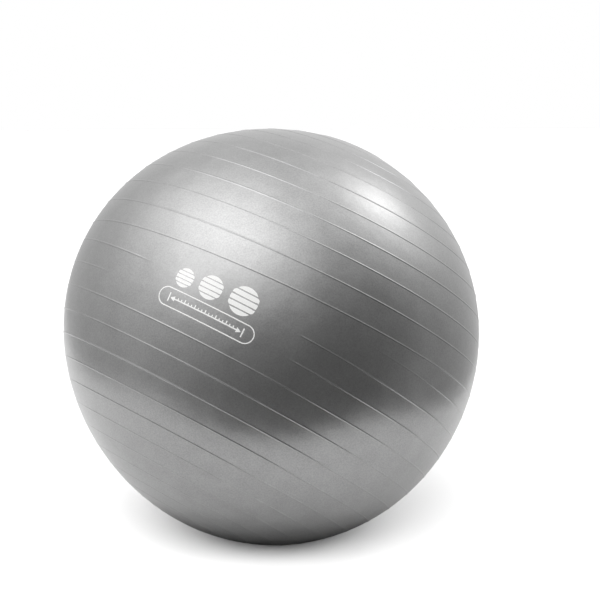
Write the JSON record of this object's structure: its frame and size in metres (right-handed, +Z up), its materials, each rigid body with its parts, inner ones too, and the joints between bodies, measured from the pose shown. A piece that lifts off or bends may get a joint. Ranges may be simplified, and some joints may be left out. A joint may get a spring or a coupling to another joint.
{
  "type": "exercise ball",
  "caption": "Large inflated exercise ball with thin moulded ribs, a valve seat bonded into its skin and a push-in stopper.",
  "frame": {"origin": "centre of the flat contact patch, on the floor that the ball stands on", "axes": "+Z up, -Y towards the printed side, +X to the right when looking at the print"},
  "size_m": [0.7498, 0.7498, 0.7405],
  "materials": {
    "skin_vinyl": "satin",
    "seat_vinyl": "satin",
    "plug_polyethylene": "satin"
  },
  "bodies": {
    "ball": {"ball_shell": "skin_vinyl", "valve_seat": "seat_vinyl"},
    "plug": {"valve_plug": "plug_polyethylene"}
  },
  "joints": [
    {"name": "plug_pull", "type": "slide", "parent": "ball", "child": "plug", "axis": [0.4442, 0.3396, 0.829], "range_m": [0, 0.035]}
  ]
}
